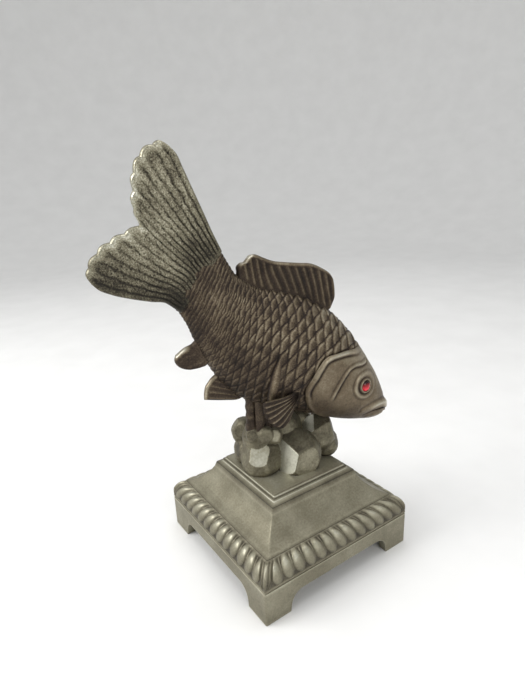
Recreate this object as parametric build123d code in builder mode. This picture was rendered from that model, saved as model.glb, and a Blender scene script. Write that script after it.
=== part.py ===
"""A cast metal carp on a rock mound, screwed to a stepped square pedestal.

Lengths are in millimetres and angles in degrees. +Z is up, z = 0 is the plane
that the four feet stand on, and the Z axis runs up the pedestal's middle. The
fish dives towards +X, turned a little about the Z axis.
"""

import os
from math import cos, radians, sin

from build123d import *

os.makedirs("parts", exist_ok=True)

# Pedestal
base_side = 65.0
foot_height = 7.1
foot_width = 10.0
foot_spread = 5.0
face_height = 12.7
border_height = 7.7
border_inset = 4.1
border_bulge = 1.0
lobe_rise = 0.9
corner_lobe_reach = 2.4
groove_inset = 1.3
groove_height = 0.6
slope_inset = 7.7
slope_height = 7.5
slope_hollow = 0.6
ridge_inset = 0.6
ridge_height = 2.0
tread_depth = 1.9
tread_height = 0.5
step_rise = 1.1
step_depth = 0.9
platform_rise = 0.9
wall = 3.5
platform_wall = 3.5

# Screw that holds the mound to the pedestal
screw_diameter = 4.0
screw_clearance = 0.2
screw_reach = 9.0
screw_head_diameter = 7.0
screw_head_height = 2.8
screw_slot_width = 1.0
screw_slot_depth = 1.3
washer_diameter = 10.0
washer_height = 0.8
screw_bottom_room = 1.0

# Rock mound
rock_reach = 15.0
throat_gap = 0.3

# Fish
body_length = 91.5
body_depth = 42.0
body_width = 23.4
perch_forward = 4.2
perch_rise = 46.7
fish_dive = 39.05
fish_turn = -15.0
gill_rise = 1.0
mouth_opening = 0.7
eye_diameter = 3.3
eye_bezel_diameter = 7.6
eye_bezel_rise = 0.5
eye_socket_depth = 2.2
eye_proud = 0.5
eye_clearance = 0.05

# Fins
fin_thickness = 2.2
fin_seat = 2.5
ray_rise = 0.45
ray_width = 0.9
tail_length = 34.5
tail_span = 46.5
tail_root_thickness = 4.4
tail_edge_thickness = 2.2
dorsal_length = 36.0
dorsal_height = 11.7
anal_length = 8.5
anal_height = 10.2
pelvic_length = 14.5
pelvic_height = 8.5
pectoral_length = 15.5
pectoral_thickness = 1.8

# Water weed
stem_diameter = 3.4
stem_top_diameter = 2.6
stem_seat = 2.0
leaf_width = 3.6
leaf_thickness = 1.4

overrun = 1.0

# Shapes that follow the sizes above

# Stations along the body: place from snout to tail root, height of the back and of
# the belly over the snout, and half width, as shares of the body's length, depth and width.
body_shares = [
    (-0.005, -0.020, -0.106, 0.075),
    (0.022, 0.017, -0.159, 0.180),
    (0.087, 0.113, -0.240, 0.282),
    (0.175, 0.211, -0.338, 0.372),
    (0.284, 0.297, -0.417, 0.440),
    (0.393, 0.368, -0.493, 0.483),
    (0.503, 0.400, -0.572, 0.500),
    (0.612, 0.375, -0.615, 0.479),
    (0.721, 0.300, -0.580, 0.410),
    (0.820, 0.212, -0.498, 0.320),
    (0.896, 0.200, -0.405, 0.248),
    (0.951, 0.240, -0.329, 0.175),
    (1.000, 0.286, -0.281, 0.125),
]

# Place along the body, as a share of its length, that stands over the mound.
perch_share = 0.566

# Border lobes on each side: width as a share of their spacing, ends as shares of the way up
# the border, sideways lean as a share of that run, and the ends' cut as a share of half the width.
lobe_count = 13
lobe_width_share = 0.72
lobe_end_shares = (0.42, 0.72)
lobe_lean_share = 0.45
lobe_cut_share = 0.6
lobe_sides = 6

# Knee of the curve from each foot to the apron, as shares of the foot's spread and height.
foot_knee_shares = (0.25, 0.70)

# Outlines on the fish's side view, as shares of body length and body depth.
gill_rear_shares = [(0.335, 0.262), (0.384, 0.193), (0.430, 0.122), (0.463, 0.020)]
gill_rear_shares += [(0.464, -0.110), (0.456, -0.215), (0.430, -0.310)]
gill_front_shares = [(0.352, -0.374), (0.305, -0.330), (0.280, -0.050), (0.300, 0.190)]
mouth_shares = [(-0.020, -0.050), (0.035, -0.016), (0.080, -0.052), (0.131, -0.164)]
eye_share = (0.221, 0.045)
eye_turn = 10.0
eye_lift = 14.0

# Tail outline: shares of the tail's length from its root and of its span from the body axis.
tail_upper_shares = [(0.304, 0.389), (0.652, 0.538), (0.841, 0.598), (0.985, 0.505), (0.957, 0.297)]
tail_fork_share = (0.713, 0.086)
tail_lower_shares = [(0.861, -0.155), (0.875, -0.290), (0.800, -0.390), (0.660, -0.402), (0.300, -0.315)]
tail_fan_shares = (-0.40, 0.62)
tail_ray_count = 17

# Fin outlines: shares of the fin's length from its front root and of its height off the body.
fin_foot_shares = (1.00, 0.67, 0.33, 0.00)
dorsal_start_share = 0.506
dorsal_shares = [(0.00, 0.13), (0.08, 0.64), (0.24, 0.95), (0.44, 1.00)]
dorsal_shares += [(0.67, 0.84), (0.88, 0.77), (1.00, 0.56)]
dorsal_ray_count = 13
dorsal_lean_share = 0.85
belly_lean_share = 0.15
anal_start_share = 0.800
anal_shares = [(0.00, 0.00), (0.49, 0.67), (0.90, 0.94), (1.24, 1.00), (1.29, 0.85), (0.98, 0.06)]
pelvic_start_share = 0.590
anal_ray_count = 4
pelvic_ray_count = 5
pelvic_shares = [(0.00, 0.00), (0.42, 0.44), (0.90, 1.00), (1.05, 0.67), (1.08, 0.37), (1.00, 0.00)]
pectoral_share = (0.475, -0.295)
pectoral_side_share = 0.470
pectoral_first_angle = -38.0
pectoral_last_angle = -92.0
pectoral_ray_count = 6
pectoral_notch_share = 0.88
pectoral_root_share = 0.22

# Weed stems: place along the body and across it from the perch, as shares of the stem's diameter.
stem_shares = [(0.592, -0.440), (-0.269, -0.943), (-0.215, 0.234)]
stem_foot_share = 0.60
# Leaf root: along the body from the perch, off the belly and across, in shares of the stem's
# diameter. Leaf tip: shares of the body's length, depth and width.
leaf_root_shares = (-0.619, -0.190, -1.060)
leaf_tip_shares = (0.628, -0.150, -0.570)

# Boulders lie rolled over: none has a pole on the faces that the others cut.
boulder_roll = 90.0

# Boulders: centre over the platform and radius as shares of the mound's reach, then flat
# facets, each with its azimuth, elevation and distance as a share of the radius.
boulder_shares = [
    ((0.00, 0.10, 0.30, 0.68), []),
    ((0.36, -0.27, 0.33, 0.62), [(-135, 25, 0.78), (-62, 4, 0.80), (-85, 58, 0.76)]),
    ((-0.42, -0.10, 0.22, 0.50), [(-118, 30, 0.80), (170, 35, 0.85)]),
    ((0.72, 0.05, 0.55, 0.52), [(-75, 15, 0.78), (-140, 40, 0.80), (10, 20, 0.85)]),
    ((-0.40, 0.62, 0.45, 0.42), [(150, 30, 0.88)]),
    ((-0.55, 0.15, 0.62, 0.45), [(-130, 35, 0.82)]),
    ((0.98, -0.25, 0.30, 0.33), [(-50, 20, 0.82)]),
]

# Frame of the fish: x runs from snout to tail, y towards the back, z to its left side.
heading = Vector(cos(radians(fish_turn)), sin(radians(fish_turn)), 0)
left_side = Vector(-sin(radians(fish_turn)), cos(radians(fish_turn)), 0)
upward = Vector(0, 0, 1)
tailward = upward * sin(radians(fish_dive)) - heading * cos(radians(fish_dive))
platform_top = (
    face_height + border_height + groove_height + slope_height
    + ridge_height + tread_height + step_rise + platform_rise
)

# The body's axis passes over the mound at the perch, and the snout lies ahead of it.
perch = heading * perch_forward + upward * (platform_top + perch_rise)
snout = perch - tailward * perch_share * body_length
fish_side = Plane(origin=snout, x_dir=tailward, z_dir=left_side)
backward = fish_side.y_dir


def station(along):
    """Back height, belly height and half width of the body at a share of its length."""
    for near, far in zip(body_shares, body_shares[1:]):
        if along <= far[0]:
            break
    mix = (along - near[0]) / (far[0] - near[0])
    back, belly, half = [low + (high - low) * mix for low, high in zip(near[1:], far[1:])]
    return back * body_depth, belly * body_depth, half * body_width


def flank_at(along, height):
    """How far the body's side stands from its middle plane at a height on the side view."""
    back, belly, half = station(along)
    middle = (back + belly) / 2
    reach = (back - belly) / 2
    return half * (1 - ((height - middle) / reach) ** 2) ** 0.5


def side_point(share):
    """A point of the side view from shares of body length and body depth."""
    return (share[0] * body_length, share[1] * body_depth)


def body_sections(shares, grow=0.0, swell=0.0):
    """Ellipses across the body, each grown all round by one length and in width by another."""
    sections = []
    for along, back, belly, half in shares:
        middle = (back + belly) / 2 * body_depth
        centre = fish_side.from_local_coords((along * body_length, middle, 0))
        with BuildSketch(Plane(origin=centre, x_dir=left_side, z_dir=tailward)) as section:
            Ellipse(half * body_width + grow + swell, (back - belly) / 2 * body_depth + grow)
        sections.append(section.sketch)
    return sections


def fin_outline(start, length, height, shares, down, pointed):
    """A fin's outline from shares, with a foot that reaches into the body at its root."""
    def edge(place, rise):
        along = start + place * length / body_length
        back, belly, half = station(along)
        return (along * body_length, belly - rise if down else back + rise)

    free = [edge(place, rise * height) for place, rise in shares]
    root = [edge(place, -fin_seat) for place in fin_foot_shares]
    with BuildLine() as outline:
        if pointed:
            Polyline(*free)
        else:
            Spline(*free)
        Polyline(free[-1], *root, free[0])
    make_face(outline.edges())


# Pedestal: one moulded profile drawn on both sides, hollow below and cut into four feet
def moulded_profile():
    half = base_side / 2
    heights = [0, face_height, border_height, groove_height, slope_height, ridge_height]
    heights += [tread_height, step_rise, 0, platform_rise]
    insets = [0, 0, border_inset, groove_inset, slope_inset, ridge_inset]
    insets += [tread_depth, 0, step_depth, 0]
    corners = []
    width, level = half, 0
    for inset, rise in zip(insets, heights):
        width, level = width - inset, level + rise
        corners.append((width, level))
    foot, face, border, groove, slope, *steps = corners
    border_middle = ((face[0] + border[0]) / 2 + border_bulge, (face[1] + border[1]) / 2 + border_bulge)
    slope_middle = ((groove[0] + slope[0]) / 2 - slope_hollow, (groove[1] + slope[1]) / 2 - slope_hollow)
    with BuildLine() as outline:
        Polyline((0, 0), foot, face, border_middle, border, groove)
        ThreePointArc(groove, slope_middle, slope)
        Polyline(slope, *steps, (0, platform_top), (0, 0))
    make_face(outline.edges())
    mirror(about=Plane.YZ)


def hollow_profile():
    half = base_side / 2
    shoulder = half - border_inset - groove_inset - wall
    crown = shoulder - slope_inset
    with BuildLine() as outline:
        Polyline(
            (0, -overrun),
            (half - wall, -overrun),
            (half - wall, face_height),
            (crown, platform_top - platform_wall),
            (0, platform_top - platform_wall),
            (0, -overrun),
        )
    make_face(outline.edges())
    mirror(about=Plane.YZ)


def foot_gap():
    half_bottom = base_side / 2 - foot_width
    half_top = half_bottom - foot_spread
    knee = (half_bottom - foot_spread * foot_knee_shares[0], foot_height * foot_knee_shares[1])
    with BuildLine() as outline:
        Polyline((0, foot_height), (0, -overrun), (half_bottom, -overrun), (half_bottom, 0))
        ThreePointArc((half_bottom, 0), knee, (half_top, foot_height))
        Line((half_top, foot_height), (0, foot_height))
    make_face(outline.edges())
    mirror(about=Plane.YZ)


def oval_lobe(radius, length):
    """A lobe with flat sides and narrowed ends, upright over its lower end."""
    end = lobe_cut_share * radius
    with BuildPart() as lobe:
        with BuildSketch(Plane.XY.offset(-end)):
            RegularPolygon(radius, lobe_sides)
        extrude(amount=length + 2 * end)
        chamfer(lobe.faces().filter_by(Axis.Z).edges(), end)
    return lobe.part


def border_lobes():
    """Lobes round the border, which lean to two opposite corners, with one upright on each corner."""
    half = base_side / 2
    chord = Vector(-border_inset, border_height)
    swell = border_bulge * (border_height + border_inset) / chord.length
    spacing = 2 * (half - border_inset / 2 - corner_lobe_reach) / lobe_count
    radius = lobe_width_share * spacing / 2
    out_of_chord = Vector(border_height, border_inset) / chord.length * (swell + lobe_rise - radius)
    low, high = [Vector(half, face_height) + chord * share + out_of_chord for share in lobe_end_shares]
    lean = lobe_lean_share * (high - low).length
    side_lobe = oval_lobe(radius, ((high - low).length ** 2 + lean**2) ** 0.5)
    corner_lobe = oval_lobe(radius, (2 * (high.X - low.X) ** 2 + (high.Y - low.Y) ** 2) ** 0.5)
    with BuildPart() as lobes:
        for quarter in range(4):
            out = Vector(1, 0, 0).rotate(Axis.Z, 90 * quarter)
            across = upward.cross(out)
            shift = lean / 2 * (-1) ** quarter
            for number in range(lobe_count):
                place = spacing * (number - (lobe_count - 1) / 2)
                foot = out * low.X + upward * low.Y + across * (place - shift)
                top = out * high.X + upward * high.Y + across * (place + shift)
                with Locations(Plane(origin=foot, x_dir=out.cross(top - foot), z_dir=top - foot)):
                    add(side_lobe)
            foot = (out + across) * low.X + upward * low.Y
            top = (out + across) * high.X + upward * high.Y
            with Locations(Plane(origin=foot, x_dir=out.cross(top - foot), z_dir=top - foot)):
                add(corner_lobe)
    return lobes.part


with BuildPart() as hollow:
    with BuildSketch(Plane.XZ):
        hollow_profile()
    extrude(amount=base_side, both=True)
    with BuildSketch(Plane.YZ):
        hollow_profile()
    extrude(amount=base_side, both=True, mode=Mode.INTERSECT)

with BuildPart() as pedestal:
    with BuildSketch(Plane.XZ):
        moulded_profile()
    extrude(amount=base_side, both=True)
    with BuildSketch(Plane.YZ):
        moulded_profile()
    extrude(amount=base_side, both=True, mode=Mode.INTERSECT)
    add(border_lobes())
    add(hollow.part, mode=Mode.SUBTRACT)
    for side in (Plane.XZ, Plane.YZ):
        with BuildSketch(side):
            foot_gap()
        extrude(amount=base_side, both=True, mode=Mode.SUBTRACT)
    with Locations((0, 0, platform_top)):
        Hole(screw_diameter / 2 + screw_clearance)

# Fixing screw and its washer, pushed up through the platform
platform_underside = platform_top - platform_wall
washer_bottom = platform_underside - washer_height
with BuildPart() as washer:
    with BuildSketch(Plane.XY.offset(washer_bottom)):
        Circle(washer_diameter / 2)
        Circle(screw_diameter / 2 + screw_clearance, mode=Mode.SUBTRACT)
    extrude(amount=washer_height)

with BuildPart() as fixing_screw:
    with BuildSketch(Plane.XY.offset(washer_bottom)):
        Circle(screw_head_diameter / 2)
    extrude(amount=-screw_head_height)
    fillet(fixing_screw.edges().group_by(Axis.Z)[0], screw_head_height / 3)
    with BuildSketch(Plane.XY.offset(washer_bottom)):
        Circle(screw_diameter / 2)
    extrude(amount=washer_height + platform_wall + screw_reach)
    with BuildSketch(Plane.XY.offset(washer_bottom - screw_head_height)):
        Rectangle(screw_head_diameter + overrun, screw_slot_width)
    extrude(amount=screw_slot_depth, mode=Mode.SUBTRACT)

# Water weed: stems from the rocks into the belly, and a leaf up the right flank
with BuildPart() as water_weed:
    for beyond, aside in stem_shares:
        along = perch_share + beyond * stem_diameter / body_length
        belly = station(along)[1]
        top = fish_side.from_local_coords((along * body_length, belly + stem_seat, aside * stem_diameter))
        foot_level = platform_top + stem_foot_share * rock_reach
        with Locations(Plane(origin=(top.X, top.Y, (top.Z + foot_level) / 2))):
            Cone(stem_diameter / 2, stem_top_diameter / 2, top.Z - foot_level)
    beyond, below, aside = [share * stem_diameter for share in leaf_root_shares]
    root_along = perch_share * body_length + beyond
    root_up = station(root_along / body_length)[1] + below
    leaf_root = fish_side.from_local_coords((root_along, root_up, aside))
    along, up, across = leaf_tip_shares
    leaf_tip = fish_side.from_local_coords((along * body_length, up * body_depth, across * body_width))
    leaf_run = leaf_tip - leaf_root
    leaf_normal = leaf_run.cross(tailward)
    leaf_middle = leaf_run.length / 2
    with BuildSketch(Plane(origin=leaf_root, x_dir=leaf_run, z_dir=leaf_normal)):
        with BuildLine():
            ThreePointArc((0, 0), (leaf_middle, leaf_width / 2), (leaf_run.length, 0))
            ThreePointArc((leaf_run.length, 0), (leaf_middle, -leaf_width / 2), (0, 0))
        make_face()
    extrude(amount=leaf_thickness / 2, both=True)

# Fins: plates in the fish's middle plane, with raised rays on both faces
def strip(start, end, near, far):
    """A tapering strip between two points of a sketch, with its width at each end."""
    run = Vector(*end) - Vector(*start)
    across = Vector(-run.Y, run.X) / run.length
    corners = [(start, near / 2), (end, far / 2), (end, -far / 2), (start, -near / 2)]
    with BuildLine() as outline:
        Polyline(*[Vector(*point) + across * width for point, width in corners], close=True)
    make_face(outline.edges())


def rayed_fin(outline, rays, half, plane):
    """A plate with the given outline, and rays that stand out of both its faces."""
    with BuildPart() as ribs:
        with BuildSketch(plane):
            rays()
        extrude(amount=half + ray_rise, both=True)
        with BuildSketch(plane):
            outline()
        extrude(amount=half + ray_rise, both=True, mode=Mode.INTERSECT)
    with BuildPart() as fin:
        with BuildSketch(plane):
            outline()
        extrude(amount=half, both=True)
        add(ribs.part)
    return fin


def taper_section(root, tip):
    """The tail's taper from root to edge, seen along the fin."""
    far = body_length + tail_length + overrun
    with BuildSketch(Plane(origin=snout, x_dir=tailward, z_dir=backward)) as section:
        with BuildLine() as outline:
            Polyline((body_length, root), (far, tip), (far, -tip), (body_length, -root), close=True)
        make_face(outline.edges())
    return section.sketch


# Tail fin: a blade that thins towards its edge, with rays that fan out from the root
tail_top, tail_bottom, tail_end_half = station(1.0)
tail_half = tail_root_thickness / 2
tail_edge_half = tail_edge_thickness / 2


def tail_point(share):
    return (body_length + share[0] * tail_length, share[1] * tail_span)


def tail_outline():
    fork = tail_point(tail_fork_share)
    with BuildLine() as outline:
        Spline((body_length, tail_top), *[tail_point(share) for share in tail_upper_shares], fork)
        Spline(fork, *[tail_point(share) for share in tail_lower_shares], (body_length, tail_bottom))
        Line((body_length, tail_bottom), (body_length, tail_top))
    make_face(outline.edges())


def tail_rays():
    for number in range(tail_ray_count):
        share = (number + 0.5) / tail_ray_count
        root = (body_length, tail_bottom + (tail_top - tail_bottom) * share)
        tip = tail_point((1, tail_fan_shares[0] + (tail_fan_shares[1] - tail_fan_shares[0]) * share))
        strip(root, tip, ray_width / 2, ray_width)


with BuildPart() as tail_ribs:
    with BuildSketch(fish_side):
        tail_rays()
    extrude(amount=tail_half + ray_rise, both=True)
    with BuildSketch(fish_side):
        tail_outline()
    extrude(amount=tail_half + ray_rise, both=True, mode=Mode.INTERSECT)
    taper = taper_section(tail_half + ray_rise, tail_edge_half + ray_rise)
    extrude(taper, amount=tail_span, both=True, mode=Mode.INTERSECT)

with BuildPart() as tail_fin:
    with BuildSketch(fish_side):
        tail_outline()
    extrude(amount=tail_half, both=True)
    taper = taper_section(tail_half, tail_edge_half)
    extrude(taper, amount=tail_span, both=True, mode=Mode.INTERSECT)
    add(tail_ribs.part)


# Dorsal, anal and pelvic fins, each with a foot let into the body
def fin_rays(start, length, height, count, down):
    lean = height * (belly_lean_share if down else dorsal_lean_share)
    for number in range(count):
        along = start + length / body_length * (number + 0.5) / count
        back, belly, half = station(along)
        middle = along * body_length
        if down:
            root, tip = belly + fin_seat, belly - height - overrun
        else:
            root, tip = back - fin_seat, back + height + overrun
        strip((middle - lean / 2, root), (middle + lean / 2, tip), ray_width, ray_width)


def plain_fin(start, length, height, shares, count, down=False, pointed=False):
    return rayed_fin(
        lambda: fin_outline(start, length, height, shares, down, pointed),
        lambda: fin_rays(start, length, height, count, down),
        fin_thickness / 2,
        fish_side,
    )


dorsal_fin = plain_fin(
    dorsal_start_share, dorsal_length, dorsal_height, dorsal_shares, dorsal_ray_count
)
anal_fin = plain_fin(
    anal_start_share, anal_length, anal_height, anal_shares, anal_ray_count, down=True
)
pelvic_fin = plain_fin(
    pelvic_start_share, pelvic_length, pelvic_height, pelvic_shares, pelvic_ray_count,
    down=True, pointed=True,
)
with pelvic_fin:
    add(water_weed.part, mode=Mode.SUBTRACT)


# Pectoral fins: a fan behind each gill cover
def fan_point(angle, reach):
    root = side_point(pectoral_share)
    return (root[0] + reach * cos(radians(angle)), root[1] + reach * sin(radians(angle)))


def fan_angle(number):
    sweep = pectoral_last_angle - pectoral_first_angle
    return pectoral_first_angle + sweep * number / (pectoral_ray_count - 1)


def fan_outline():
    rim = []
    for number in range(pectoral_ray_count):
        rim.append(fan_point(fan_angle(number), pectoral_length))
        rim.append(fan_point(fan_angle(number + 0.5), pectoral_length * pectoral_notch_share))
    heel = pectoral_length * pectoral_root_share
    root = [fan_point(pectoral_last_angle, heel), fan_point(pectoral_first_angle, -heel)]
    with BuildLine() as outline:
        Polyline(*rim[:-1], *root, close=True)
    make_face(outline.edges())


def fan_rays():
    for number in range(pectoral_ray_count):
        start = fan_point(fan_angle(number), 0)
        strip(start, fan_point(fan_angle(number), pectoral_length), ray_width / 2, ray_width)


def pectoral_fin(side):
    plane = fish_side.offset(side * pectoral_side_share * body_width)
    return rayed_fin(fan_outline, fan_rays, pectoral_thickness / 2, plane)


pectoral_fin_right = pectoral_fin(-1)
pectoral_fin_left = pectoral_fin(1)


# Eyes: red stones set in bezels on both sides of the head
def eye_plane(side):
    along, up = side_point(eye_share)
    out = side * flank_at(eye_share[0], up)
    outward = left_side * side * cos(radians(eye_lift)) + backward * sin(radians(eye_lift))
    outward = outward - tailward * sin(radians(eye_turn))
    place = fish_side.from_local_coords((along, up, out))
    return Plane(origin=place, x_dir=backward.cross(outward), z_dir=outward)


def eye_stone(side):
    radius = eye_diameter / 2
    crown = eye_bezel_rise + eye_proud
    girdle = eye_bezel_rise
    floor = eye_bezel_rise - eye_socket_depth
    dome = (radius**2 + eye_proud**2) / (2 * eye_proud)
    shoulder = crown - dome + (dome**2 - radius**2 / 4) ** 0.5
    plane = eye_plane(side)
    with BuildPart() as stone:
        with BuildSketch(Plane(origin=plane.origin, x_dir=plane.x_dir, z_dir=-plane.y_dir)):
            with BuildLine() as outline:
                Polyline((0, crown), (0, floor), (radius, floor), (radius, girdle))
                ThreePointArc((radius, girdle), (radius / 2, shoulder), (0, crown))
            make_face(outline.edges())
        revolve(axis=Axis(plane.origin, plane.z_dir))
    return stone


eye_stone_right = eye_stone(-1)
eye_stone_left = eye_stone(1)

# Gill covers: the head's sides again, a little wider, inside the cover's outline
with BuildPart() as gill_covers:
    loft(body_sections(body_shares[2:8], swell=gill_rise))
    with BuildSketch(fish_side):
        with BuildLine():
            Spline(*[side_point(share) for share in gill_rear_shares])
            front_shares = gill_rear_shares[-1:] + gill_front_shares + gill_rear_shares[:1]
            Polyline(*[side_point(share) for share in front_shares])
        make_face()
    extrude(amount=body_width, both=True, mode=Mode.INTERSECT)

# Body: a loft through the stations, with the fins, stems and stones let into it
with BuildPart() as fish_body:
    loft(body_sections(body_shares))
    add(gill_covers.part)
    for side in (-1, 1):
        socket = eye_plane(side)
        with BuildSketch(socket.offset(-eye_socket_depth)):
            Circle(eye_bezel_diameter / 2)
        extrude(amount=eye_socket_depth + eye_bezel_rise)
        with BuildSketch(socket.offset(eye_bezel_rise - eye_socket_depth)):
            Circle(eye_diameter / 2 + eye_clearance)
        extrude(amount=eye_socket_depth + overrun, mode=Mode.SUBTRACT)
    with BuildSketch(fish_side):
        lips = [side_point(share) for share in mouth_shares]
        for start, end in zip(lips, lips[1:]):
            strip(start, end, mouth_opening, mouth_opening)
    extrude(amount=body_width, both=True, mode=Mode.SUBTRACT)
    for piece in (dorsal_fin, anal_fin, pelvic_fin, pectoral_fin_right, pectoral_fin_left, water_weed):
        add(piece.part, mode=Mode.SUBTRACT)


# Rock mound: rounded boulders with flat facets, sawn level where they stand
def boulder(place, facets):
    *centre, radius = [share * rock_reach for share in place]
    centre = Vector(*centre) + upward * platform_top
    with BuildPart() as rock:
        with Locations(centre):
            Sphere(radius, rotation=(boulder_roll, 0, 0))
        for azimuth, elevation, distance in facets:
            flat = cos(radians(elevation))
            out = Vector(flat * cos(radians(azimuth)), flat * sin(radians(azimuth)), sin(radians(elevation)))
            split(bisect_by=Plane(origin=centre + out * distance * radius, z_dir=out), keep=Keep.BOTTOM)
    return rock.part


boulders = [boulder(place, facets) for place, facets in boulder_shares]
with BuildPart() as fish_room:
    loft(body_sections(body_shares, grow=throat_gap))

with BuildPart() as rock_mound:
    for rock in boulders:
        add(rock)
    split(bisect_by=Plane.XY.offset(platform_top), keep=Keep.TOP)
    add(water_weed.part, mode=Mode.SUBTRACT)
    add(fish_room.part, mode=Mode.SUBTRACT)
    with BuildSketch(Plane.XY.offset(platform_top)):
        Circle(screw_diameter / 2 + screw_clearance / 2)
    extrude(amount=screw_reach + screw_bottom_room, mode=Mode.SUBTRACT)

pieces = {
    "pedestal": pedestal,
    "washer": washer,
    "fixing_screw": fixing_screw,
    "rock_mound": rock_mound,
    "water_weed": water_weed,
    "fish_body": fish_body,
    "tail_fin": tail_fin,
    "dorsal_fin": dorsal_fin,
    "anal_fin": anal_fin,
    "pelvic_fin": pelvic_fin,
    "pectoral_fin_right": pectoral_fin_right,
    "pectoral_fin_left": pectoral_fin_left,
    "eye_stone_right": eye_stone_right,
    "eye_stone_left": eye_stone_left,
}
for name, piece in pieces.items():
    piece.part.label = name
    export_step(piece.part, f"parts/{name}.step")
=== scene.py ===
from math import cos, pi, radians, sin

import bmesh
import bpy
import numpy as np
from mathutils import Matrix, Vector, noise

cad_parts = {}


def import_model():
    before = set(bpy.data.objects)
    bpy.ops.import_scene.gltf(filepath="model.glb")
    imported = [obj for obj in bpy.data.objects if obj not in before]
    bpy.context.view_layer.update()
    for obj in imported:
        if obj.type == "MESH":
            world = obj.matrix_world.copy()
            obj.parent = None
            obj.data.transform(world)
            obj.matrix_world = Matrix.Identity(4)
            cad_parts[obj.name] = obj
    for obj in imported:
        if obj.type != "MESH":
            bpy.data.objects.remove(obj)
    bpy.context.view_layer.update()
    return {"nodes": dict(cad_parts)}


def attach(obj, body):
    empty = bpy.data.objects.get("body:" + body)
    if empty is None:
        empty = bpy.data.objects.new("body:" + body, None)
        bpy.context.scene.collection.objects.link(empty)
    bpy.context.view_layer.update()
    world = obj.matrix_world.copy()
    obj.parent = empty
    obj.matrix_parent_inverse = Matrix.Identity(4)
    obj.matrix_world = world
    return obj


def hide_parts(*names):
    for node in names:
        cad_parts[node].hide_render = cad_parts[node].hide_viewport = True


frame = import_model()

scene = bpy.context.scene
nodes = frame["nodes"]


# Lines and curves, in millimetres
def curve(x, xs, ys):
    """A smooth curve through the points (xs, ys), read at x, that never overshoots them."""
    xs, ys = np.asarray(xs, float), np.asarray(ys, float)
    h = np.diff(xs)
    d = np.diff(ys) / h
    slope = np.zeros(len(xs))
    slope[0], slope[-1] = d[0], d[-1]
    for i in range(1, len(xs) - 1):
        if d[i - 1] * d[i] > 0:
            a, b = 2 * h[i] + h[i - 1], h[i] + 2 * h[i - 1]
            slope[i] = (a + b) / (a / d[i - 1] + b / d[i])
    x = np.clip(x, xs[0], xs[-1])
    k = np.clip(np.searchsorted(xs, x, side="right") - 1, 0, len(xs) - 2)
    u = (x - xs[k]) / h[k]
    near = (1 + 2 * u) * (1 - u) ** 2 * ys[k] + u * (1 - u) ** 2 * h[k] * slope[k]
    return near + u * u * (3 - 2 * u) * ys[k + 1] + u * u * (u - 1) * h[k] * slope[k + 1]


def path(points, u):
    """Points of a smooth line through these points, at shares u of its length."""
    p = np.asarray(points, float)
    step = np.linalg.norm(np.diff(p, axis=0), axis=1)
    along = np.concatenate([[0], np.cumsum(step)]) / step.sum()
    return np.stack([curve(u, along, p[:, k]) for k in range(p.shape[1])], axis=-1)


def away(s, t, points):
    """How far each (s, t) is from the line through the points: positive on its left side."""
    fine = path(points, np.linspace(0, 1, 70))
    best = np.full(s.shape, 1e9)
    side = np.ones(s.shape)
    for a, b in zip(fine[:-1], fine[1:]):
        e = b - a
        k = np.clip(((s - a[0]) * e[0] + (t - a[1]) * e[1]) / (e @ e), 0, 1)
        ds, dt = s - a[0] - k * e[0], t - a[1] - k * e[1]
        d = np.hypot(ds, dt)
        near = d < best
        best = np.where(near, d, best)
        side = np.where(near, np.where(e[0] * dt - e[1] * ds >= 0, 1.0, -1.0), side)
    return best * side


def bump(d, width):
    """A smooth hill, 1 high at d = 0."""
    return np.exp(-((d / width) ** 2))


def step(x, low, high):
    """A smooth rise from 0 at low to 1 at high."""
    u = np.clip((x - low) / (high - low), 0, 1)
    return u * u * (3 - 2 * u)


def rough(points, size):
    """Smooth noise at each point, from about -1 to 1, with lumps of this size."""
    flat = points.reshape(-1, 3) / size
    return np.array([noise.noise(Vector(p)) for p in flat.tolist()]).reshape(points.shape[:-1])


# Meshes
def add_mesh(name, points, faces, finish, tone_and_painted_light):
    """A piece from points in millimetres; its tone level goes from 0, dark, to 1, light: patina deep in
    hollows and wear on tops, together with painted light and shade.
    """
    mesh = bpy.data.meshes.new(name)
    mesh.from_pydata((np.asarray(points).reshape(-1, 3) * 0.001).tolist(), [], faces)
    work = bmesh.new()
    work.from_mesh(mesh)
    bmesh.ops.recalc_face_normals(work, faces=work.faces)
    work.to_mesh(mesh)
    work.free()
    layer = mesh.attributes.new("tone_and_painted_light", "FLOAT", "POINT")
    layer.data.foreach_set("value", np.clip(tone_and_painted_light, 0, 1).astype(np.float32).ravel())
    mesh.polygons.foreach_set("use_smooth", np.full(len(mesh.polygons), True))
    mesh.materials.append(finish)
    piece = bpy.data.objects.new(name, mesh)
    scene.collection.objects.link(piece)
    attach(piece, "root")
    return piece


def tube_faces(n, m):
    """Four-sided faces between n rings of m points."""
    i = np.arange(n - 1)[:, None] * m
    j = np.arange(m)[None, :]
    k = (j + 1) % m
    return np.stack([i + j, i + k, i + m + k, i + m + j], -1).reshape(-1, 4).tolist()


def capped_faces(n, m):
    """Faces of n rings of m points, closed by one more point at each end."""
    last = (n - 1) * m
    faces = tube_faces(n, m)
    faces += [[j, (j + 1) % m, n * m] for j in range(m)]
    return faces + [[last + j, last + (j + 1) % m, n * m + 1] for j in range(m)]


def plate_faces(n, w):
    """Faces of two grids of n rows of w points, where each ring goes out on one and back on the other."""
    m = 2 * w
    faces = tube_faces(n, m)
    for start in (0, (n - 1) * m):
        faces += [[start + j, start + j + 1, start + m - 2 - j, start + m - 1 - j] for j in range(w - 1)]
    return faces


def tube(name, rings, finish, tone_and_painted_light, ends):
    """A closed piece from rings of points, with a point inside to close each end."""
    points = np.concatenate([rings.reshape(-1, 3), np.asarray(ends, float)])
    values = np.concatenate([tone_and_painted_light.ravel(), [tone_and_painted_light[0].mean(), tone_and_painted_light[-1].mean()]])
    return add_mesh(name, points, capped_faces(*rings.shape[:2]), finish, values)


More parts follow.
